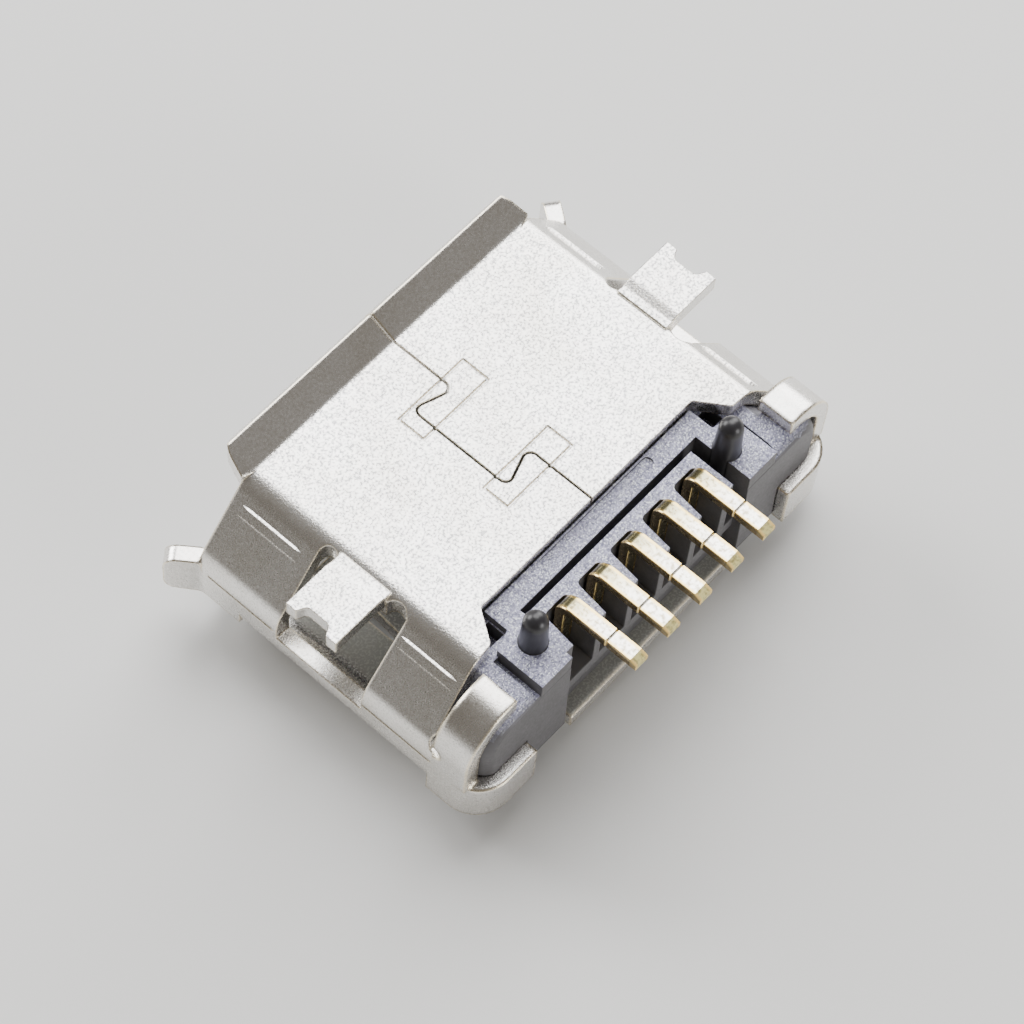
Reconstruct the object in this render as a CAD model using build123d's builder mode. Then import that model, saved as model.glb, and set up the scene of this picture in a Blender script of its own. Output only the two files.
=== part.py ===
from build123d import *
from math import cos, radians, sin, tan
import os

os.makedirs("parts", exist_ok=True)

# A five-contact micro usb socket for surface mounting, lying on its wide side with the solder side up.
# The mouth points along +Y, the solder feet along -Y. All sizes are millimetres.
# Heights are measured above the outer face of the wide side unless a name ends in _z.

# Driving sizes of the folded shell
sheet = 0.25
shell_width = 7.45
shell_height = 2.40
mouth_y = 2.48
narrow_inset = 0.915
wall_rise = 1.30
corner_radius = 0.80
wall_bend = 0.60
narrow_bend = 0.45
sharp = 0.01

# Flared edges of the mouth, their widths measured from the edge of the narrow side
lip_length = 0.52
lip_angle = 28
lip_bend = 0.30
lip_inner_inset = 0.19
lip_root_outset = 0.05
lip_tip_inset = 0.09
lip_corner = 0.36
lip_root_round = 0.03
horn_length = 0.56
horn_angle = 37
horn_bend_back = 0.01
horn_low = 0.48
horn_high = 1.27
horn_root_high = 1.04
horn_root_back = 0.06
horn_taper = 0.09
horn_round = 0.20
horn_root_round = 0.08

# Rear edges of the shell, measured along Y
narrow_rear = -1.08
narrow_rear_inset = 0.68
lobe_inset = 0.37
lobe_rear = -1.53
lobe_round = 0.10
cover_round = 0.06
panel_rear = -1.66
corner_rear = -1.78
plate_rear = -2.42
plate_rear_half = 1.65

# Solder legs and the windows they are bent out of
leg_front = 0.78
leg_rear = -0.09
leg_root_outset = 0.06
leg_root_flat = 0.04
leg_joggle = 0.16
leg_length = 0.95
leg_lift = 0.05
leg_bend = 0.20
leg_notch_depth = 0.15
leg_notch_width = 0.48
leg_notch_slant = 0.10
leg_notch_round = 0.10
leg_tip_round = 0.05
window_front = 1.05
window_rear = -0.47
window_sill = 0.92
window_depth = 1.00
relief_inset = 0.04

# Seam of the folded sheet, with two hooked interlocks
seam_gap = 0.035
seam_outer_x = 0.07
seam_inner_x = -0.55
seam_hook = 0.21
seam_front_y = 1.36
seam_rear_y = 0.05
seam_radius = 0.11

# Fine lines left by the press tool: frames round the interlocks and scores along the side walls
score_depth = 0.03
score_width = 0.035
frame_x = -0.14
frame_width = 1.32
frame_front_low = 1.12
frame_front_high = 1.60
frame_rear_low = -0.37
frame_rear_high = 0.08
score_height = 1.07
score_front_low = 1.12
score_front_high = 2.30
score_rear_low = -1.69
score_rear_high = -0.49

# Rear clips and wrapped tabs
clip_front = -1.72
clip_rear = -2.30
clip_top = 2.35
clip_reach = 0.925
clip_radius = 0.80
clip_foot = 0.25
wrap_top = 1.00
wrap_rear = -2.60
wrap_radius = 0.55
wrap_reach = 1.105
wrap_overlap = 0.02
wrap_front = -2.08
slit_hole_radius = 0.13

# Latch windows of the wide side, each with a spring tongue
latch_x = 2.00
latch_width = 0.86
latch_front = 1.60
latch_rear = -0.20
spring_width = 0.60
spring_rise = 0.24
spring_crest = 1.00
spring_tip = 1.40
spring_tip_rise = 0.08
spring_bend = 0.20

# Moulded insulator
clearance = 0.02
base_front = -0.75
ear_front = -1.80
ear_rear = -2.43
ear_rear_top = -2.38
ear_seat = -2.33
ear_inner = 1.80
ear_floor = 0.06
seat_top = 2.10
block_top = 2.24
block_inset = 1.335
block_front = -1.60
rib_rear = -2.27
foot_recess_rear = -2.17
foot_recess_top = 0.85
ledge_gap = 0.05
ledge_corner = -1.50
tongue_half = 1.90
tongue_low = 0.62
tongue_high = 1.22
tongue_front = 1.95
tongue_round = 0.20

# Cuts in the top of the moulding
groove_front = -1.43
groove_rear = -1.53
groove_left = -1.75
groove_depth = 0.45
slot_front = -1.70
slot_left_front = 0.29
slot_left_rear = 0.41
slot_right = 0.155
slot_round = 0.08
slot_floor = 1.08
pocket_left = 1.60
pocket_right = 1.82
corner_pocket_front = -1.20
corner_pocket_rear = -1.47
corner_pocket_inner = 2.10
corner_pocket_outer = 2.36
ear_slot_width = 0.10
ear_slot_front = -1.63
ear_slot_depth = 0.26
mark_left = -1.08
mark_right = 1.15
mark_front = -1.13
mark_rear = -1.29
mark_round = 0.07

# Locating pegs that enter the board
peg_x = 1.97
peg_y = -1.85
peg_radius = 0.20
peg_tip_radius = 0.175
peg_height = 0.70

# Contacts
contact_count = 5
pitch = 0.65
contact_width = 0.25
contact_thickness = 0.15
contact_proud = 0.01
contact_front = 1.72
riser_y = -1.82
riser_radius = 0.22
foot_rear = -3.11
foot_radius = 0.15
foot_score_y = -2.60
foot_tip_length = 0.11
foot_tip_drop = 0.04

# Levels and edges that follow from the sizes above
half_width = shell_width / 2
narrow_half = half_width - narrow_inset
wall_x = half_width - sheet / 2
lip_reach = mouth_y + lip_length
lip_inner_half = narrow_half - lip_inner_inset
lip_root_half = narrow_half + lip_root_outset
lip_tip_half = narrow_half - lip_tip_inset
lip_run = lip_length - sheet / 2 * sin(radians(lip_angle))
lip_rise = lip_run * tan(radians(lip_angle))
lip_flare = lip_rise + sheet / 2 * cos(radians(lip_angle)) - sheet / 2
horn_bend_y = mouth_y - horn_bend_back
horn_run = horn_length * cos(radians(horn_angle))
horn_out = horn_length * sin(radians(horn_angle))
horn_reach = horn_bend_y + horn_run + sheet / 2 * sin(radians(horn_angle))
front_reach = max(lip_reach, horn_reach)
floor_z = lip_flare
top_z = floor_z + shell_height
middle_z = floor_z + shell_height / 2
foot_top_z = top_z + leg_lift
narrow_rear_half = narrow_half - narrow_rear_inset
lobe_half = narrow_half - lobe_inset
relief_half = narrow_half - relief_inset
leg_root = narrow_half + leg_root_outset
leg_joggle_start = leg_root + leg_root_flat
leg_joggle_end = leg_joggle_start + leg_joggle
leg_tip = leg_root + leg_length
clip_inner = half_width - clip_reach
wrap_inner = half_width - wrap_reach
block_half = half_width - block_inset
ledge_half = narrow_rear_half - ledge_gap
contact_centres = [(index - (contact_count - 1) / 2) * pitch for index in range(contact_count)]

# The parts are placed so that the socket's middle, between lips and feet, lies over the origin
placement = Location((0, -(front_reach + foot_rear) / 2, 0))


# Corners of the shell's cross-section, drawn by the given distance inside the sheet's outer face
def section_corners(inset):
    run = half_width - narrow_half
    drop = shell_height - wall_rise
    slant = (run * run + drop * drop) ** 0.5
    outer_x = half_width - inset
    bend_z = floor_z + wall_rise - inset * (slant - drop) / run
    flat_x = narrow_half - inset * (slant - run) / drop
    return [
        (-flat_x, top_z - inset),
        (-outer_x, bend_z),
        (-outer_x, floor_z + inset),
        (outer_x, floor_z + inset),
        (outer_x, bend_z),
        (flat_x, top_z - inset),
    ]


# Bend radii at those corners, in the same order
def section_radii(inset):
    right = [corner_radius - inset, wall_bend - inset, narrow_bend - inset]
    return right[::-1] + right


# Flared lip of the narrow side, cut to its outline in plan
with BuildPart() as lip:
    with BuildSketch(Plane.YZ):
        with BuildLine():
            FilletPolyline(
                (mouth_y - 2 * sheet, top_z - sheet / 2),
                (mouth_y, top_z - sheet / 2),
                (mouth_y + lip_run, top_z - sheet / 2 + lip_rise),
                radius=lip_bend,
            )
        trace(line_width=sheet)
    extrude(amount=half_width, both=True)
    with BuildSketch(Plane.XY.offset(middle_z)):
        with BuildLine():
            FilletPolyline(
                (-lip_inner_half, mouth_y - 3 * sheet),
                (-lip_inner_half, mouth_y - sheet / 4),
                (-lip_root_half, mouth_y),
                (-lip_tip_half, lip_reach),
                (lip_tip_half, lip_reach),
                (lip_root_half, mouth_y),
                (lip_inner_half, mouth_y - sheet / 4),
                (lip_inner_half, mouth_y - 3 * sheet),
                radius=[sharp, sharp, lip_root_round, lip_corner, lip_corner, lip_root_round, sharp, sharp],
                close=True,
            )
        make_face()
    extrude(amount=shell_height, mode=Mode.INTERSECT)

# Horn that flares out of the right side wall, its tip rounded in side view
with BuildPart() as horn:
    with BuildSketch(Plane.XY.offset(floor_z + horn_low)):
        with BuildLine():
            FilletPolyline(
                (wall_x, mouth_y - 3 * sheet),
                (wall_x, horn_bend_y),
                (wall_x + horn_out, horn_bend_y + horn_run),
                radius=lip_bend,
            )
        trace(line_width=sheet)
    extrude(amount=horn_high - horn_low)
    with BuildSketch(Plane.YZ.offset(half_width - 2 * sheet)):
        with BuildLine():
            FilletPolyline(
                (mouth_y - 3 * sheet, floor_z + horn_low),
                (mouth_y, floor_z + horn_low),
                (horn_reach + sheet, floor_z + horn_low + horn_taper),
                (horn_reach + sheet, floor_z + horn_high),
                (mouth_y - horn_root_back, floor_z + horn_high),
                (mouth_y - horn_root_back, floor_z + horn_root_high),
                (mouth_y - 3 * sheet, floor_z + horn_root_high),
                radius=[sharp, sharp, sharp, sharp, horn_root_round, horn_root_round, sharp],
                close=True,
            )
        make_face()
    extrude(amount=4 * sheet, mode=Mode.INTERSECT)
    fillet(horn.faces().sort_by(Axis.Y)[-1].edges().filter_by(Axis.Z, reverse=True), horn_round)

# Solder leg on the right, with its joggle and its notched tip
with BuildPart() as leg:
    with BuildSketch(Plane.XZ.offset(-leg_front)):
        with BuildLine():
            FilletPolyline(
                (relief_half, top_z - sheet / 2),
                (leg_joggle_start, top_z - sheet / 2),
                (leg_joggle_end, foot_top_z - sheet / 2),
                (leg_tip, foot_top_z - sheet / 2),
                radius=leg_bend,
            )
        trace(line_width=sheet)
    extrude(amount=leg_front - leg_rear)
    notch_low = (leg_front + leg_rear - leg_notch_width - leg_notch_slant) / 2
    notch_high = (leg_front + leg_rear + leg_notch_width + leg_notch_slant) / 2
    with BuildSketch(Plane.XY.offset(middle_z)):
        with BuildLine():
            FilletPolyline(
                (leg_tip + sheet, notch_low - leg_notch_slant),
                (leg_tip - leg_notch_depth, notch_low + leg_notch_slant),
                (leg_tip - leg_notch_depth, notch_high - leg_notch_slant),
                (leg_tip + sheet, notch_high + leg_notch_slant),
                radius=[leg_tip_round, leg_notch_round, leg_notch_round, leg_tip_round],
                close=True,
            )
        make_face()
    extrude(amount=shell_height, mode=Mode.SUBTRACT)

# Rear clip on the right: the end of the side wall rises, folds over and lies on the moulding
with BuildPart() as clip:
    with BuildSketch(Plane.XZ.offset(-clip_front)):
        with BuildLine():
            FilletPolyline(
                (wall_x, floor_z + clip_foot),
                (wall_x, floor_z + clip_top - sheet / 2),
                (clip_inner, floor_z + clip_top - sheet / 2),
                radius=clip_radius - sheet / 2,
            )
        trace(line_width=sheet)
    extrude(amount=clip_front - clip_rear)
    with BuildSketch(Plane.YZ.offset(half_width - 2 * sheet)):
        with Locations((wrap_front, floor_z)):
            Rectangle(shell_width, wrap_top - wrap_overlap, align=(Align.MAX, Align.MIN))
        with Locations((clip_front, floor_z + wall_rise + slit_hole_radius)):
            Circle(slit_hole_radius)
    extrude(amount=4 * sheet, mode=Mode.SUBTRACT)
    with BuildSketch(Plane.XY.offset(floor_z + clip_foot)):
        with BuildLine():
            FilletPolyline(
                (wall_x, corner_rear + sheet / 2),
                (wall_x, wrap_rear + sheet / 2),
                (wrap_inner, wrap_rear + sheet / 2),
                radius=wrap_radius - sheet / 2,
            )
        trace(line_width=sheet)
    extrude(amount=wrap_top - clip_foot)

# Spring tongue of the right latch window, sprung toward the plug
with BuildPart() as spring:
    spring_z = floor_z + sheet / 2
    with BuildSketch(Plane.YZ.offset(latch_x)):
        with BuildLine():
            FilletPolyline(
                (latch_rear - sheet, spring_z),
                (latch_rear + sheet, spring_z),
                (spring_crest, spring_z + spring_rise),
                (spring_tip, spring_z + spring_tip_rise),
                radius=spring_bend,
            )
        trace(line_width=sheet)
    extrude(amount=spring_width / 2, both=True)

# The shell itself: one sheet folded round, then pierced, with the formed details joined on
with BuildPart() as shell:
    with BuildSketch(Plane.XZ.offset(-mouth_y)):
        with BuildLine():
            FilletPolyline(*section_corners(0), radius=section_radii(0), close=True)
        make_face()
        with BuildLine():
            FilletPolyline(*section_corners(sheet), radius=section_radii(sheet), close=True)
        make_face(mode=Mode.SUBTRACT)
    extrude(amount=mouth_y - plate_rear)

    # Rear edge of the narrow side, the slanted panels and the slits behind them
    with BuildSketch(Plane.XY.offset(floor_z + wall_rise)):
        with BuildLine():
            FilletPolyline(
                (-half_width - sheet, plate_rear - sheet),
                (-half_width - sheet, panel_rear),
                (-lobe_half, lobe_rear),
                (-narrow_rear_half, narrow_rear),
                (narrow_rear_half, narrow_rear),
                (lobe_half, lobe_rear),
                (half_width + sheet, panel_rear),
                (half_width + sheet, plate_rear - sheet),
                radius=[sharp, sharp, lobe_round, cover_round, cover_round, lobe_round, sharp, sharp],
                close=True,
            )
        make_face()
    extrude(amount=shell_height, mode=Mode.SUBTRACT)
    with BuildSketch(Plane.YZ.offset(-shell_width)):
        with Locations((clip_front, floor_z + wall_rise + slit_hole_radius)):
            Circle(slit_hole_radius)
    extrude(amount=2 * shell_width, mode=Mode.SUBTRACT)

    # Low rear corners, where the wide side is cut back beside its middle strip
    corner_strip = shell_width - plate_rear_half
    with BuildSketch(Plane.XY.offset(floor_z - sheet)):
        with Locations((-plate_rear_half, corner_rear)):
            Rectangle(corner_strip, shell_height, align=(Align.MAX, Align.MAX))
        with Locations((plate_rear_half, corner_rear)):
            Rectangle(corner_strip, shell_height, align=(Align.MIN, Align.MAX))
    extrude(amount=shell_height, mode=Mode.SUBTRACT)

    # Side windows with their rounded reliefs on both sides of each leg
    with BuildSketch(Plane.XY.offset(floor_z + window_sill)):
        for side in (-1, 1):
            with Locations((side * (leg_root + window_depth / 2), (window_front + window_rear) / 2)):
                Rectangle(window_depth, window_front - window_rear)
            for low, high in ((leg_front, window_front), (window_rear, leg_rear)):
                with Locations((side * (relief_half + window_depth / 2), (low + high) / 2)):
                    SlotOverall(window_depth, high - low)
    extrude(amount=shell_height, mode=Mode.SUBTRACT)

    # Latch windows in the wide side
    with BuildSketch(Plane.XY.offset(floor_z - sheet)):
        for side in (-1, 1):
            with Locations((side * latch_x, (latch_front + latch_rear) / 2)):
                Rectangle(latch_width, latch_front - latch_rear)
    extrude(amount=3 * sheet, mode=Mode.SUBTRACT)

    # Formed details, each made for the right side and mirrored to the left
    add(lip.part)
    mirror(lip.part, about=Plane.XY.offset(middle_z))
    for detail in (horn, leg, clip, spring):
        add(detail.part)
        mirror(detail.part, about=Plane.YZ)

    # Seam, open by a hair from the lip to the rear edge
    with BuildSketch(Plane.XY.offset(middle_z)):
        with BuildLine():
            FilletPolyline(
                (seam_outer_x, lip_reach + sheet),
                (seam_outer_x, seam_front_y),
                (seam_inner_x, seam_front_y + seam_hook),
                (seam_inner_x, seam_rear_y - seam_hook),
                (seam_outer_x, seam_rear_y),
                (seam_outer_x, narrow_rear - sheet),
                radius=seam_radius,
            )
        trace(line_width=seam_gap)
    extrude(amount=shell_height, mode=Mode.SUBTRACT)

    # Press lines round the interlocks and along the side walls
    with BuildSketch(Plane.XY.offset(top_z - score_depth)):
        for low, high in ((frame_front_low, frame_front_high), (frame_rear_low, frame_rear_high)):
            with Locations((frame_x, (low + high) / 2)):
                Rectangle(frame_width, high - low)
                Rectangle(frame_width - 2 * score_width, high - low - 2 * score_width, mode=Mode.SUBTRACT)
    extrude(amount=score_depth, mode=Mode.SUBTRACT)
    for side in (-1, 1):
        with BuildSketch(Plane.YZ.offset(side * half_width)):
            for low, high in ((score_front_low, score_front_high), (score_rear_low, score_rear_high)):
                with Locations(((low + high) / 2, floor_z + score_height)):
                    Rectangle(high - low, score_width)
        extrude(amount=score_depth, both=True, mode=Mode.SUBTRACT)

placed_shell = shell.part.moved(placement)
placed_shell.label = "shell"
export_step(placed_shell, "parts/shell.step")


# One contact: blade on the tongue, riser in its slot, solder foot with its score line and sheared tip
def make_contact(x):
    blade_z = floor_z + tongue_high + contact_proud - contact_thickness / 2
    foot_z = foot_top_z - contact_thickness / 2
    with BuildPart() as contact:
        with BuildSketch(Plane.YZ.offset(x - contact_width / 2)):
            with BuildLine():
                FilletPolyline(
                    (contact_front, blade_z),
                    (riser_y, blade_z),
                    (riser_y, foot_z),
                    (foot_rear, foot_z),
                    radius=[riser_radius, foot_radius],
                )
            trace(line_width=contact_thickness)
        extrude(amount=contact_width)
        with BuildSketch(Plane.XY.offset(foot_top_z - score_depth)):
            with Locations((x, foot_score_y)):
                Rectangle(2 * contact_width, score_width)
        extrude(amount=sheet, mode=Mode.SUBTRACT)
        with BuildSketch(Plane.YZ.offset(x)):
            with BuildLine():
                Polyline(
                    (foot_rear + foot_tip_length, foot_top_z),
                    (foot_rear - sharp, foot_top_z - foot_tip_drop),
                    (foot_rear - sharp, foot_top_z + sheet),
                    (foot_rear + foot_tip_length, foot_top_z + sheet),
                    close=True,
                )
            make_face()
        extrude(amount=contact_width, both=True, mode=Mode.SUBTRACT)
    return contact.part


contacts = []
for contact_x in contact_centres:
    contacts.append(make_contact(contact_x))

# Insulator: a block that fills the rear of the shell, two ears, a ledge and the tongue
with BuildPart() as insulator:
    with BuildSketch(Plane.XZ.offset(-base_front)):
        inset = sheet + clearance
        with BuildLine():
            FilletPolyline(*section_corners(inset), radius=section_radii(inset), close=True)
        make_face()
    extrude(amount=base_front - ear_front)
    with BuildSketch(Plane.XZ.offset(-ear_front)):
        ear_side = half_width - sheet - clearance
        ear_round = clip_radius - sheet + clearance
        with BuildLine():
            FilletPolyline(
                (-ear_side, floor_z + seat_top),
                (-ear_side, floor_z + ear_floor),
                (ear_side, floor_z + ear_floor),
                (ear_side, floor_z + seat_top),
                radius=[ear_round, wrap_radius - sheet, wrap_radius - sheet, ear_round],
                close=True,
            )
        make_face()
    extrude(amount=ear_front - ear_rear)
    rear_corners = insulator.edges().filter_by(Axis.Z)
    rear_corners = rear_corners.filter_by_position(Axis.Y, ear_rear - sharp, ear_rear + sharp)
    wrap_fit = wrap_radius - sheet + clearance
    fillet(rear_corners, wrap_fit)

    # The rear face leans, and low down its outer corners sit inside the wrapped tabs
    with BuildSketch(Plane.YZ):
        with BuildLine():
            Polyline(
                (ear_rear_top, floor_z + block_top + sheet),
                (ear_rear_top, floor_z + block_top),
                (ear_rear, floor_z + ear_floor),
                (ear_rear - sheet, floor_z + ear_floor),
                (ear_rear - sheet, floor_z + block_top + sheet),
                close=True,
            )
        make_face()
    extrude(amount=half_width, both=True, mode=Mode.SUBTRACT)
    with BuildSketch(Plane.XY.offset(floor_z)):
        with Locations((0, ear_front)):
            Rectangle(shell_width, shell_height, align=(Align.CENTER, Align.MAX))
        with BuildLine():
            FilletPolyline(
                (-ear_side, ear_front + sheet),
                (-ear_side, ear_seat),
                (-wrap_inner + clearance, ear_seat),
                (-wrap_inner + clearance, ear_front - 2 * shell_height),
                (wrap_inner - clearance, ear_front - 2 * shell_height),
                (wrap_inner - clearance, ear_seat),
                (ear_side, ear_seat),
                (ear_side, ear_front + sheet),
                radius=[sharp, wrap_fit, sharp, sharp, sharp, sharp, wrap_fit, sharp],
                close=True,
            )
        make_face(mode=Mode.SUBTRACT)
    extrude(amount=wrap_top + clearance, mode=Mode.SUBTRACT)

    # Seats of the clips behind the shell's cover, and the raised block between them
    with BuildSketch(Plane.XY.offset(floor_z + seat_top)):
        with Locations((0, narrow_rear)):
            Rectangle(shell_width, shell_height, align=(Align.CENTER, Align.MAX))
    extrude(amount=sheet, mode=Mode.SUBTRACT)
    with BuildSketch(Plane.XY.offset(floor_z + seat_top - sheet)):
        with BuildLine():
            Polyline(
                (-ledge_half, narrow_rear - clearance),
                (-ledge_half, ledge_corner),
                (-block_half, block_front),
                (-block_half, ear_rear_top),
                (block_half, ear_rear_top),
                (block_half, block_front),
                (ledge_half, ledge_corner),
                (ledge_half, narrow_rear - clearance),
                close=True,
            )
        make_face()
    extrude(amount=block_top - seat_top + sheet)

    # Room for the wide side's middle strip, and the stepped rear face between the ears
    with BuildSketch(Plane.XY.offset(floor_z)):
        with Locations((0, ear_front + clearance)):
            Rectangle(2 * (plate_rear_half + clearance), shell_height, align=(Align.CENTER, Align.MAX))
    extrude(amount=sheet, mode=Mode.SUBTRACT)
    with BuildSketch(Plane.XY.offset(floor_z)):
        with Locations((0, rib_rear)):
            Rectangle(2 * ear_inner, shell_height, align=(Align.CENTER, Align.MAX))
    extrude(amount=shell_height, mode=Mode.SUBTRACT)
    with BuildSketch(Plane.XY.offset(floor_z)):
        with Locations((0, foot_recess_rear)):
            Rectangle(2 * ear_inner, shell_height, align=(Align.CENTER, Align.MAX))
    extrude(amount=foot_recess_top, mode=Mode.SUBTRACT)

    # Tongue inside the mouth
    with BuildSketch(Plane.YZ):
        with BuildLine():
            FilletPolyline(
                (base_front, floor_z + tongue_low),
                (tongue_front, floor_z + tongue_low),
                (tongue_front, floor_z + tongue_high),
                (base_front, floor_z + tongue_high),
                radius=[sharp, tongue_round, tongue_round, sharp],
                close=True,
            )
        make_face()
    extrude(amount=tongue_half, both=True)

    # Slots for the risers, open at the rear, each wider on its left
    slot_rear = ear_rear - sheet
    with BuildSketch(Plane.XY.offset(floor_z + slot_floor)):
        for contact_x in contact_centres:
            with BuildLine():
                FilletPolyline(
                    (contact_x - slot_left_front, slot_front),
                    (contact_x - slot_left_rear, slot_rear),
                    (contact_x + slot_right, slot_rear),
                    (contact_x + slot_right, slot_front),
                    radius=[slot_round, sharp, sharp, slot_round],
                    close=True,
                )
            make_face()
        with Locations(((pocket_left + pocket_right) / 2, groove_front)):
            Rectangle(pocket_right - pocket_left, groove_front - slot_rear, align=(Align.CENTER, Align.MAX))
    extrude(amount=shell_height, mode=Mode.SUBTRACT)

    # Groove behind the ledge, and the small pockets beside the cover
    with BuildSketch(Plane.XY.offset(floor_z + block_top - groove_depth)):
        with Locations(((groove_left + pocket_right) / 2, (groove_front + groove_rear) / 2)):
            Rectangle(pocket_right - groove_left, groove_front - groove_rear)
        for side in (-1, 1):
            pocket_x = side * (corner_pocket_inner + corner_pocket_outer) / 2
            with Locations((pocket_x, (corner_pocket_front + corner_pocket_rear) / 2)):
                Rectangle(corner_pocket_outer - corner_pocket_inner, corner_pocket_front - corner_pocket_rear)
    extrude(amount=shell_height, mode=Mode.SUBTRACT)

    # Narrow slots beside the clips, and the shallow mark on the ledge
    with BuildSketch(Plane.XY.offset(floor_z + block_top - ear_slot_depth)):
        for side in (-1, 1):
            with Locations((side * (block_half + ear_slot_width / 2), ear_slot_front)):
                Rectangle(ear_slot_width, shell_height, align=(Align.CENTER, Align.MAX))
    extrude(amount=shell_height, mode=Mode.SUBTRACT)
    with BuildSketch(Plane.XY.offset(floor_z + block_top - score_depth)):
        with Locations(((mark_left + mark_right) / 2, (mark_front + mark_rear) / 2)):
            RectangleRounded(mark_right - mark_left, mark_front - mark_rear, mark_round)
    extrude(amount=sheet, mode=Mode.SUBTRACT)

    # Domed pegs, each rooted in the block
    for side in (-1, 1):
        with Locations((side * peg_x, peg_y, floor_z + block_top)):
            Cylinder(peg_radius, groove_depth, align=(Align.CENTER, Align.CENTER, Align.MAX))
            Cone(
                peg_radius,
                peg_tip_radius,
                peg_height - peg_tip_radius,
                align=(Align.CENTER, Align.CENTER, Align.MIN),
            )
        with Locations((side * peg_x, peg_y, floor_z + block_top + peg_height - peg_tip_radius)):
            Sphere(peg_tip_radius)

    # The contacts are moulded in, so the moulding has their exact channels
    for contact in contacts:
        add(contact, mode=Mode.SUBTRACT)

placed_insulator = insulator.part.moved(placement)
placed_insulator.label = "insulator"
export_step(placed_insulator, "parts/insulator.step")

for number, contact in enumerate(contacts, start=1):
    placed_contact = contact.moved(placement)
    placed_contact.label = f"contact_{number}"
    export_step(placed_contact, f"parts/contact_{number}.step")
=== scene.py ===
import bmesh
import bpy
from mathutils import Matrix, Vector


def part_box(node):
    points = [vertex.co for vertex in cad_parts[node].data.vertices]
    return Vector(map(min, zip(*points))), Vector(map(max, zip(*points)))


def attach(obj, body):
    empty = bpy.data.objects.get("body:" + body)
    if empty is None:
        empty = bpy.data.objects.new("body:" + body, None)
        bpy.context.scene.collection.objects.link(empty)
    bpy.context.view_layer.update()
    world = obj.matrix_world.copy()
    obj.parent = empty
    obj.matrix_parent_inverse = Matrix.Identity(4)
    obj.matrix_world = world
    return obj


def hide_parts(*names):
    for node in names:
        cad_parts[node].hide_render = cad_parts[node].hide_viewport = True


# The socket lies on its wide side with the solder side up. The mouth looks along +Y, the feet along -Y.
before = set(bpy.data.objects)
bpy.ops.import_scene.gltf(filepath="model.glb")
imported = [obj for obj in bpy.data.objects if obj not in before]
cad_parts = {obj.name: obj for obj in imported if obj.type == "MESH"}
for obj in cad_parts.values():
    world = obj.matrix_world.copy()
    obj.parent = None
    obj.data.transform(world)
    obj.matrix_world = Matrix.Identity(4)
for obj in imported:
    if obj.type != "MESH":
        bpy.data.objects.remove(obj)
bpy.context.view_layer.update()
MM = 0.001


# Shell.
# One blank of thin steel, stamped, folded round and closed by a hooked seam, then plated.
# Stamping leaves its rims slightly rolled and bare of grain; their pale warm tint is partly a painted
# highlight along them.
def placed(name, data):
    """A new object of the scene that holds this data."""
    item = bpy.data.objects.new(name, data)
    bpy.context.scene.collection.objects.link(item)
    return item


def finish(piece):
    """Turns the piece and its modifiers into one plain mesh."""
    bpy.context.view_layer.update()
    graph = bpy.context.evaluated_depsgraph_get()
    mesh = bpy.data.meshes.new_from_object(piece.evaluated_get(graph))
    piece.modifiers.clear()
    piece.data = mesh


def clean_copy(node, name, material):
    """A copy of a CAD node with its triangles joined into whole faces, which keep their own normals."""
    weld, flat_angle, sharp_angle = 0.0005 * MM, 0.012, 0.5
    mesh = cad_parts[node].data.copy()
    mesh.materials.clear()
    if "custom_normal" in mesh.attributes:
        mesh.attributes.remove(mesh.attributes["custom_normal"])
    work = bmesh.new()
    work.from_mesh(mesh)
    bmesh.ops.remove_doubles(work, verts=work.verts, dist=weld)
    bmesh.ops.dissolve_degenerate(work, edges=work.edges, dist=weld)
    bmesh.ops.dissolve_limit(work, angle_limit=flat_angle, verts=work.verts, edges=work.edges)
    for face in work.faces:
        face.smooth = True
        face.material_index = 0
    for edge in work.edges:
        edge.smooth = len(edge.link_faces) == 2 and edge.calc_face_angle() < sharp_angle
    work.to_mesh(mesh)
    work.free()
    mesh.materials.append(material)
    piece = placed(name, mesh)
    level = piece.modifiers.new("flat_faces_stay_flat", "WEIGHTED_NORMAL")
    level.weight = 75
    level.keep_sharp = True
    finish(piece)
    return piece


def new_material(name):
    """A new material with its nodes, its links and its surface shader."""
    material = bpy.data.materials.new(name)
    material.use_nodes = True
    nodes, links = material.node_tree.nodes, material.node_tree.links
    return material, nodes, links, nodes["Principled BSDF"]


def feed(links, socket, given):
    """Gives a socket either a fixed value or the output of another node."""
    if isinstance(given, bpy.types.NodeSocket):
        links.new(given, socket)
    else:
        socket.default_value = given


def split(nodes, links, vector):
    """The X, Y and Z of a vector."""
    node = nodes.new("ShaderNodeSeparateXYZ")
    links.new(vector, node.inputs["Vector"])
    return node.outputs


def object_millimetres(nodes, links):
    """Object coordinates in millimetres, for patterns that sit still on the piece."""
    place = nodes.new("ShaderNodeTexCoord")
    scaled = nodes.new("ShaderNodeMapping")
    scaled.inputs["Scale"].default_value = (1000.0, 1000.0, 1000.0)
    links.new(place.outputs["Object"], scaled.inputs["Vector"])
    return scaled.outputs["Vector"]


def face_direction(nodes, links):
    """The X, Y and Z of the direction in which the bare face looks."""
    surface = nodes.new("ShaderNodeNewGeometry")
    return split(nodes, links, surface.outputs["True Normal"])


def noise(nodes, links, place, scale, detail, roughness):
    texture = nodes.new("ShaderNodeTexNoise")
    texture.inputs["Scale"].default_value = scale
    texture.inputs["Detail"].default_value = detail
    texture.inputs["Roughness"].default_value = roughness
    links.new(place, texture.inputs["Vector"])
    return texture.outputs["Fac"]


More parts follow.
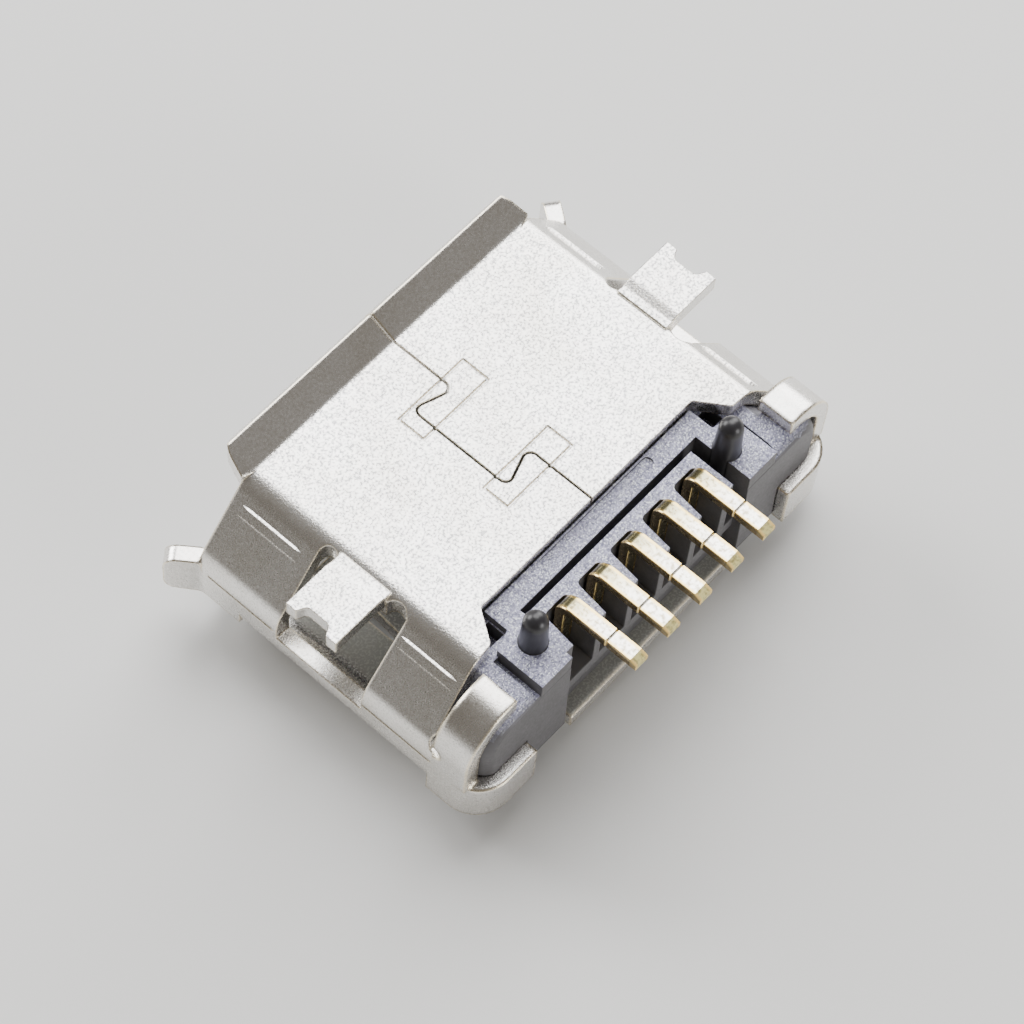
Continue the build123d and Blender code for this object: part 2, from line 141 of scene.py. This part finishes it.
def stretched(nodes, links, value, from_range, to_range):
    """Maps one range of a value onto another, held at its ends."""
    node = nodes.new("ShaderNodeMapRange")
    for label, number in zip(("From Min", "From Max", "To Min", "To Max"), (*from_range, *to_range)):
        node.inputs[label].default_value = number
    links.new(value, node.inputs["Value"])
    return node.outputs["Result"]


def blend(nodes, links, share, first, second, kind="MIX"):
    """Mixes two colours."""
    node = nodes.new("ShaderNodeMix")
    node.data_type = "RGBA"
    node.blend_type = kind
    feed(links, node.inputs["Factor"], share)
    feed(links, node.inputs["A"], first)
    feed(links, node.inputs["B"], second)
    return node.outputs["Result"]


def arithmetic(nodes, links, kind, first, second=0.0):
    node = nodes.new("ShaderNodeMath")
    node.operation = kind
    feed(links, node.inputs[0], first)
    feed(links, node.inputs[1], second)
    return node.outputs["Value"]


def vector_arithmetic(nodes, links, kind, first, second=(0.0, 0.0, 0.0)):
    node = nodes.new("ShaderNodeVectorMath")
    node.operation = kind
    feed(links, node.inputs[0], first)
    feed(links, node.inputs[1], second)
    return node.outputs


def bumped(nodes, links, height, distance, strength, normal=None):
    """Normals that follow a height pattern, on top of other normals where they are given."""
    node = nodes.new("ShaderNodeBump")
    node.inputs["Distance"].default_value = distance
    feed(links, node.inputs["Strength"], strength)
    links.new(height, node.inputs["Height"])
    if normal is not None:
        links.new(normal, node.inputs["Normal"])
    return node.outputs["Normal"]


def rounded_edges(nodes, links, radius):
    """Normals that turn softly over an edge, and how far each has turned there."""
    turned = nodes.new("ShaderNodeBevel")
    turned.samples = 8
    feed(links, turned.inputs["Radius"], radius)
    normal = turned.outputs["Normal"]
    bare = nodes.new("ShaderNodeNewGeometry").outputs["True Normal"]
    agreement = vector_arithmetic(nodes, links, "DOT_PRODUCT", normal, bare)["Value"]
    return normal, stretched(nodes, links, agreement, (0.99, 0.86), (0.0, 1.0))


def plated_sheet(name, rim):
    """Satin nickel on steel, its rims rounded over the given radius."""
    material, nodes, links, shader = new_material(name)
    place = object_millimetres(nodes, links)
    spot = split(nodes, links, place)
    level = stretched(nodes, links, face_direction(nodes, links)["Z"], (0.90, 0.99), (0.0, 1.0))

    # The inside of the wide side, seen through the mouth and the windows, is painted a flat mid grey with
    # little metal: a painted shade tone that stands in for how the shaded inside looks
    low = stretched(nodes, links, spot["Z"], (0.9, 1.0), (1.0, 0.0))
    inside = arithmetic(nodes, links, "MULTIPLY", low, level)
    links.new(stretched(nodes, links, inside, (0.0, 1.0), (1.0, 0.2)), shader.inputs["Metallic"])

    # The flat solder side with its legs is sandy, and the clips behind it were ironed smooth by folding
    solder_side = stretched(nodes, links, spot["Z"], (2.0, 2.1), (0.0, 1.0))
    before_clips = stretched(nodes, links, spot["Y"], (-1.66, -1.60), (0.0, 1.0))
    between = arithmetic(nodes, links, "MULTIPLY", solder_side, before_clips)
    sandy = arithmetic(nodes, links, "MULTIPLY", level, between)

    # Rims are sharper on the sandy side, and softest on the clips. Their pale warm tint is partly bare
    # metal and partly a painted highlight, weaker on the sandy side
    sharper = stretched(nodes, links, sandy, (0.0, 1.0), (rim, 0.4 * rim))
    softer = stretched(nodes, links, before_clips, (0.0, 1.0), (1.8, 1.0))
    radius = arithmetic(nodes, links, "MULTIPLY", sharper, softer)
    normal, at_rim = rounded_edges(nodes, links, radius)
    rim_highlight_strength = stretched(nodes, links, sandy, (0.0, 1.0), (1.0, 0.3))
    rim_tint_and_highlight = arithmetic(nodes, links, "MULTIPLY", at_rim, rim_highlight_strength)

    # Broad, faint stains, and a fine grain that shows most on the sandy side
    stain = noise(nodes, links, place, 0.9, 5.0, 0.5)
    grain = noise(nodes, links, place, 29.0, 2.0, 0.55)
    dust = noise(nodes, links, place, 48.0, 1.0, 0.5)
    stained = blend(nodes, links, stretched(nodes, links, stain, (0.32, 0.62), (0.0, 1.0)),
                    (0.76, 0.73, 0.68, 1.0), (0.87, 0.85, 0.82, 1.0))
    spots = blend(nodes, links, stretched(nodes, links, grain, (0.36, 0.57), (0.0, 1.0)),
                  (0.20, 0.21, 0.24, 1.0), (1.0, 1.0, 1.0, 1.0))
    share = stretched(nodes, links, sandy, (0.0, 1.0), (0.10, 0.75))
    spotted = blend(nodes, links, share, stained, spots, "MULTIPLY")
    # Painted shade tone: the inside gets a flat mid grey in place of its plating
    plain = blend(nodes, links, inside, spotted, (0.36, 0.36, 0.335, 1.0))
    # Painted highlight: the rims are blended to a pale warm tint, which is partly bare metal
    links.new(blend(nodes, links, rim_tint_and_highlight, plain, (0.97, 0.87, 0.68, 1.0)), shader.inputs["Base Color"])
    links.new(stretched(nodes, links, grain, (0.3, 0.7), (0.31, 0.22)), shader.inputs["Roughness"])
    pitted = bumped(nodes, links, grain, 0.0035 * MM, sandy, normal)
    links.new(bumped(nodes, links, dust, 0.003 * MM, 0.5, pitted), shader.inputs["Normal"])
    return material


shell = clean_copy("shell", "folded_shell", plated_sheet("satin_plating", 0.055 * MM))
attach(shell, "root")
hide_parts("shell")


# Press lines.
# The folding die leaves a fine raised line and a fainter one below it on each slanted panel, just
# under the bend and on both sides of the solder leg. They are of the shell's own metal, burnished.
def add_ridge(work, side, panel, height, half_width, rise, rear, front):
    """A low ridge with three edges, sunk in a slanted panel and running out to a point at both ends."""
    across = (panel.normal.dot(panel.center) - panel.normal.z * height) / panel.normal.x
    middle = Vector((across, 0.0, height))
    down = Vector((panel.normal.z, 0.0, -panel.normal.x))
    taper, tip_share = 0.09 * MM, 0.05
    rings = []
    for y, share in ((rear, tip_share), (rear + taper, 1.0), (front - taper, 1.0), (front, tip_share)):
        corners = [middle + down * (half_width * share * step) + panel.normal * (rise * share * lift)
                   for step, lift in ((-1.0, 0.0), (0.0, 1.0), (1.0, 0.0), (0.0, -0.5))]
        rings.append([work.verts.new((side * spot.x, y, spot.z)) for spot in corners])
    for first, second in zip(rings, rings[1:]):
        for corner in range(4):
            after = (corner + 1) % 4
            work.faces.new((first[corner], first[after], second[after], second[corner]))
    work.faces.new(rings[0])
    work.faces.new(rings[-1])


slanted = [face for face in shell.data.polygons if face.normal.x > 0.6 and 0.5 < face.normal.z < 0.8]
panel = max(slanted, key=lambda face: face.area)
main_line = (2.362 * MM, 0.022 * MM, 0.030 * MM)
faint_line = (2.236 * MM, 0.007 * MM, 0.0045 * MM)
before_leg = (1.31 * MM, 2.35 * MM)
behind_leg = (-1.43 * MM, -0.47 * MM)
ridges = bmesh.new()
for side in (-1, 1):
    for span in (before_leg, behind_leg):
        for line in (main_line, faint_line):
            add_ridge(ridges, side, panel, *line, *span)
bmesh.ops.recalc_face_normals(ridges, faces=ridges.faces)
ridge_mesh = bpy.data.meshes.new("press_lines")
ridges.to_mesh(ridge_mesh)
ridges.free()
ridge_mesh.materials.append(plated_sheet("burnished_plating", 0.003 * MM))
press_lines = placed("press_lines", ridge_mesh)
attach(press_lines, "root")


# Insulator.
# A single moulding in glass-filled heat-proof plastic, pushed in from the rear and held by the
# folded clips. Its spark-eroded top is rough, its sides slid out of the mould smooth. The top is
# painted lighter, partly as painted light from above, with painted glints; low floors take the
# darker side colour as painted shade.
def moulded_plastic(name):
    """Matt plastic with a rough top, painted lighter and with painted glints, smooth sides and two
    polished pegs.
    """
    material, nodes, links, shader = new_material(name)
    place = object_millimetres(nodes, links)

    # Only faces that look up and lie near the top carry the rough texture and its lighter colour, which is
    # partly painted light from above; lower faces, the slot floors among them, keep the darker side colour
    # as painted shade
    upward = stretched(nodes, links, face_direction(nodes, links)["Z"], (0.55, 0.85), (0.0, 1.0))
    above_shaded_slots = stretched(nodes, links, split(nodes, links, place)["Z"], (1.70, 1.95), (0.0, 1.0))
    rough_lit_top = arithmetic(nodes, links, "MULTIPLY", upward, above_shaded_slots)

    # The pegs, one on either side of the middle, are found by the distance from their axes
    peg_axis = (1.97, 1.795, 0.0)
    either_side = vector_arithmetic(nodes, links, "ABSOLUTE", place)["Vector"]
    flattened = vector_arithmetic(nodes, links, "MULTIPLY", either_side, (1.0, 1.0, 0.0))["Vector"]
    from_peg = vector_arithmetic(nodes, links, "DISTANCE", flattened, peg_axis)["Value"]
    on_peg = stretched(nodes, links, from_peg, (0.207, 0.213), (1.0, 0.0))

    cloud = noise(nodes, links, place, 4.0, 6.0, 0.5)
    speckle = noise(nodes, links, place, 24.0, 4.0, 0.65)
    sparkle = noise(nodes, links, place, 46.0, 1.0, 0.5)
    # The side colour also goes on the slot floors as painted shade, and the top's lighter colour is partly
    # painted light from above
    side = blend(nodes, links, cloud, (0.080, 0.077, 0.080, 1.0), (0.125, 0.121, 0.128, 1.0))
    top = blend(nodes, links, stretched(nodes, links, speckle, (0.36, 0.64), (0.0, 1.0)),
                (0.12, 0.12, 0.21, 1.0), (0.52, 0.52, 0.70, 1.0))
    # Painted glints: near-white specks in the colour stand for the glitter of the glass filler
    painted_glint = stretched(nodes, links, sparkle, (0.56, 0.64), (0.0, 1.0))
    with_painted_glints = blend(nodes, links, painted_glint, top, (0.90, 0.93, 1.0, 1.0))
    body = blend(nodes, links, rough_lit_top, side, with_painted_glints)
    links.new(blend(nodes, links, on_peg, body, (0.022, 0.021, 0.024, 1.0)), shader.inputs["Base Color"])

    matt = stretched(nodes, links, speckle, (0.3, 0.7), (0.40, 0.60))
    links.new(blend(nodes, links, on_peg, matt, (0.34, 0.34, 0.34, 1.0)), shader.inputs["Roughness"])
    off_pegs = arithmetic(nodes, links, "MAXIMUM", arithmetic(nodes, links, "SUBTRACT", rough_lit_top, on_peg))
    soft = rounded_edges(nodes, links, 0.025 * MM)[0]
    links.new(bumped(nodes, links, speckle, 0.012 * MM, off_pegs, soft), shader.inputs["Normal"])
    return material


moulding = clean_copy("insulator", "moulded_insulator", moulded_plastic("glass_filled_plastic"))
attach(moulding, "root")
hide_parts("insulator")


# Contacts.
# Five equal strips of brass, stamped as one comb and tinned, moulded into the insulator. Each runs
# along the tongue, rises in its slot and ends as a solder foot, sheared off bare at the tip.
def comb_tree():
    """Geometry Nodes: a soft-edged strip swept along the contact's bent line, repeated at the pitch."""
    tree = bpy.data.node_groups.new("contact_comb", "GeometryNodeTree")
    sockets = tree.interface
    sockets.new_socket("Geometry", in_out="INPUT", socket_type="NodeSocketGeometry")
    for label in ("Strip Width", "Strip Thickness", "Edge Radius", "First Contact", "Pitch"):
        sockets.new_socket(label, in_out="INPUT", socket_type="NodeSocketFloat")
    for label in ("Count", "Bend Steps"):
        sockets.new_socket(label, in_out="INPUT", socket_type="NodeSocketInt")
    sockets.new_socket("Metal", in_out="INPUT", socket_type="NodeSocketMaterial")
    sockets.new_socket("Geometry", in_out="OUTPUT", socket_type="NodeSocketGeometry")
    nodes, links = tree.nodes, tree.links
    given = nodes.new("NodeGroupInput")
    result = nodes.new("NodeGroupOutput")

    def attribute(name):
        node = nodes.new("GeometryNodeInputNamedAttribute")
        node.data_type = "FLOAT"
        node.inputs["Name"].default_value = name
        return node.outputs["Attribute"]

    def along_x(label):
        node = nodes.new("ShaderNodeCombineXYZ")
        links.new(given.outputs[label], node.inputs["X"])
        return node.outputs["Vector"]

    line = nodes.new("GeometryNodeMeshToCurve")
    links.new(given.outputs["Geometry"], line.inputs["Mesh"])
    bent = nodes.new("GeometryNodeFilletCurve")
    bent.mode = "POLY"
    links.new(line.outputs["Curve"], bent.inputs["Curve"])
    links.new(given.outputs["Bend Steps"], bent.inputs["Count"])
    links.new(attribute("bend"), bent.inputs["Radius"])

    section = nodes.new("GeometryNodeCurvePrimitiveQuadrilateral")
    links.new(given.outputs["Strip Width"], section.inputs["Width"])
    links.new(given.outputs["Strip Thickness"], section.inputs["Height"])
    soft = nodes.new("GeometryNodeFilletCurve")
    soft.mode = "POLY"
    soft.inputs["Count"].default_value = 2
    links.new(section.outputs["Curve"], soft.inputs["Curve"])
    links.new(given.outputs["Edge Radius"], soft.inputs["Radius"])

    sweep = nodes.new("GeometryNodeCurveToMesh")
    sweep.inputs["Fill Caps"].default_value = True
    links.new(bent.outputs["Curve"], sweep.inputs["Curve"])
    links.new(soft.outputs["Curve"], sweep.inputs["Profile Curve"])
    links.new(attribute("girth"), sweep.inputs["Scale"])

    row = nodes.new("GeometryNodeMeshLine")
    row.mode = "OFFSET"
    links.new(given.outputs["Count"], row.inputs["Count"])
    links.new(along_x("First Contact"), row.inputs["Start Location"])
    links.new(along_x("Pitch"), row.inputs["Offset"])
    repeat = nodes.new("GeometryNodeInstanceOnPoints")
    links.new(row.outputs["Mesh"], repeat.inputs["Points"])
    links.new(sweep.outputs["Mesh"], repeat.inputs["Instance"])
    real = nodes.new("GeometryNodeRealizeInstances")
    links.new(repeat.outputs["Instances"], real.inputs["Geometry"])
    metal = nodes.new("GeometryNodeSetMaterial")
    links.new(real.outputs["Geometry"], metal.inputs["Geometry"])
    links.new(given.outputs["Metal"], metal.inputs["Material"])
    links.new(metal.outputs["Geometry"], result.inputs["Geometry"])
    return tree


def set_inputs(modifier, values):
    """Sets a Geometry Nodes modifier's inputs by their sockets' identifiers."""
    for item in modifier.node_group.interface.items_tree:
        if item.item_type == "SOCKET" and item.in_out == "INPUT" and item.name in values:
            modifier[item.identifier] = values[item.name]


def tinned_brass(name):
    """Bright tin over brass, which shows at the edges and at the cut tip, with painted shade over the
    bend.
    """
    material, nodes, links, shader = new_material(name)
    shader.inputs["Metallic"].default_value = 1.0
    place = object_millimetres(nodes, links)
    spot = split(nodes, links, place)
    grain = noise(nodes, links, place, 16.0, 4.0, 0.6)

    # Along the strip: bare brass at the cut tip, bright tin on the foot, then painted shade over the bend,
    # darkening through olive to near black along the riser and tongue
    cut_end, bend_end = -3.055, -1.645
    along = stretched(nodes, links, spot["Y"], (cut_end, bend_end), (0.0, 1.0))
    tones = nodes.new("ShaderNodeValToRGB")
    stops = tones.color_ramp.elements
    stops[0].color = (0.80, 0.72, 0.34, 1.0)
    stops[1].color = (0.20, 0.18, 0.10, 1.0)
    for position, color in (
        (0.072, (0.80, 0.72, 0.34, 1.0)),
        (0.088, (0.96, 0.94, 0.88, 1.0)),
        (0.52, (0.95, 0.92, 0.84, 1.0)),
        (0.70, (0.78, 0.72, 0.52, 1.0)),
        (0.86, (0.36, 0.33, 0.19, 1.0)),
    ):
        stops.new(position).color = color
    links.new(along, tones.inputs["Fac"])
    dulled = blend(nodes, links, stretched(nodes, links, grain, (0.36, 0.54), (0.0, 1.0)),
                   (0.50, 0.46, 0.38, 1.0), (1.0, 1.0, 1.0, 1.0))
    # The tones carry painted shade over the bend; the grain darkens them all over
    tin_and_bend_shade = blend(nodes, links, 1.0, tones.outputs["Color"], dulled, "MULTIPLY")

    # The tin thins out to gold along both long edges, and the stamped sides show the brass
    half_pitch = 0.325
    from_middle = arithmetic(nodes, links, "PINGPONG", spot["X"], half_pitch)
    edge = stretched(nodes, links, from_middle, (0.066, 0.092), (0.0, 0.9))
    gilded = blend(nodes, links, edge, tin_and_bend_shade, (0.95, 0.70, 0.26, 1.0))
    sideways = arithmetic(nodes, links, "ABSOLUTE", face_direction(nodes, links)["X"])
    side = stretched(nodes, links, sideways, (0.75, 0.95), (0.0, 0.9))
    links.new(blend(nodes, links, side, gilded, (0.46, 0.38, 0.24, 1.0)), shader.inputs["Base Color"])

    tinned = stretched(nodes, links, grain, (0.3, 0.7), (0.30, 0.20))
    sheared = stretched(nodes, links, along, (0.070, 0.085), (0.55, 0.0))
    links.new(arithmetic(nodes, links, "MAXIMUM", tinned, sheared), shader.inputs["Roughness"])
    links.new(bumped(nodes, links, grain, 0.006 * MM, 0.2), shader.inputs["Normal"])
    return material


strip_width = 0.25 * MM
strip_thickness = 0.15 * MM
pitch = 0.65 * MM
low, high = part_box("contact_1")
blade_z = low.z + strip_thickness / 2
foot_z = high.z - strip_thickness / 2
riser_y = -1.765 * MM
riser_bend = 0.22 * MM
foot_bend = 0.15 * MM
foot_start = riser_y - 1.1 * foot_bend
score_y = -2.545 * MM
half_score = 0.0175 * MM
scored_girth = 0.88
tip_y = low.y + 0.11 * MM
tip_drop = 0.04 * MM
contact_line = [
    # y, z, radius of the bend, girth
    (high.y, blade_z, 0.0, 1.0),
    (riser_y, blade_z, riser_bend, 1.0),
    (riser_y, foot_z, foot_bend, 1.0),
    (foot_start, foot_z, 0.0, 1.0),
    (score_y + half_score, foot_z, 0.0, 1.0),
    (score_y, foot_z, 0.0, scored_girth),
    (score_y - half_score, foot_z, 0.0, 1.0),
    (tip_y, foot_z, 0.0, 1.0),
    (low.y, foot_z, 0.0, 1.0),
]
line_mesh = bpy.data.meshes.new("contact_line")
line_points = [(0.0, y, z) for y, z, bend, girth in contact_line]
line_mesh.from_pydata(line_points, [(i, i + 1) for i in range(len(line_points) - 1)], [])
for column, label in ((2, "bend"), (3, "girth")):
    values = [point[column] for point in contact_line]
    line_mesh.attributes.new(label, "FLOAT", "POINT").data.foreach_set("value", values)
contacts = placed("contacts", line_mesh)
comb = contacts.modifiers.new("comb", "NODES")
comb.node_group = comb_tree()
set_inputs(comb, {
    "Strip Width": strip_width,
    "Strip Thickness": strip_thickness,
    "Edge Radius": 0.018 * MM,
    "First Contact": (low.x + high.x) / 2,
    "Pitch": pitch,
    "Count": 5,
    "Bend Steps": 8,
    "Metal": tinned_brass("tin_over_brass"),
})
finish(contacts)
for vertex in contacts.data.vertices:
    if vertex.co.y < (tip_y + low.y) / 2 and vertex.co.z > foot_z:
        vertex.co.z -= tip_drop
contacts.data.shade_smooth()
contacts.data.set_sharp_from_angle(angle=0.3)
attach(contacts, "root")
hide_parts("contact_1", "contact_2", "contact_3", "contact_4", "contact_5")


# Studio.
# A plain pale floor, one large soft light above and beyond the socket, which the flat solder side
# mirrors, and weaker fill from three sides. The camera stands where the photograph was taken from.
floor_mesh = bpy.data.meshes.new("floor")
reach = 0.5
floor_corners = [(-reach, -reach, 0.0), (reach, -reach, 0.0), (reach, reach, 0.0), (-reach, reach, 0.0)]
floor_mesh.from_pydata(floor_corners, [], [(0, 1, 2, 3)])
floor = placed("floor", floor_mesh)
paper, _, _, paper_shader = new_material("pale_paper")
paper_shader.inputs["Base Color"].default_value = (0.80, 0.80, 0.79, 1.0)
paper_shader.inputs["Roughness"].default_value = 0.8
floor_mesh.materials.append(paper)

world = bpy.data.worlds.new("studio")
world.use_nodes = True
backdrop = world.node_tree.nodes["Background"]
backdrop.inputs["Color"].default_value = (0.200, 0.184, 0.164, 1.0)
backdrop.inputs["Strength"].default_value = 1.0
bpy.context.scene.world = world


def soft_light(name, direction, distance, size, power):
    lamp = bpy.data.lights.new(name, "AREA")
    lamp.shape = "DISK"
    lamp.size = size
    lamp.energy = power
    item = placed(name, lamp)
    towards = Vector(direction).normalized()
    item.location = towards * distance
    item.rotation_euler = towards.to_track_quat("Z", "Y").to_euler()


soft_light("top_softbox", (0.42, 0.34, 0.86), distance=0.12, size=0.10, power=0.17)
soft_light("mouth_side_fill", (-0.12, 0.90, 0.50), distance=0.16, size=0.09, power=0.22)
soft_light("right_side_fill", (0.90, 0.25, 0.42), distance=0.16, size=0.09, power=0.16)
soft_light("rear_fill", (0.10, -0.93, 0.30), distance=0.16, size=0.08, power=0.12)

camera_data = bpy.data.cameras.new("camera")
camera_data.sensor_width = 36.0
camera_data.lens = 118.65
camera_data.clip_start = 0.001
camera_data.clip_end = 10.0
camera = placed("camera", camera_data)
right, up, back = (0.6601, -0.7489, 0.0580), (0.6392, 0.6007, 0.4802), (-0.3945, -0.2799, 0.8752)
standpoint = (-18.276 * MM, -12.788 * MM, 41.400 * MM)
camera.matrix_world = Matrix([*zip(right, up, back, standpoint), (0.0, 0.0, 0.0, 1.0)])
bpy.context.scene.camera = camera
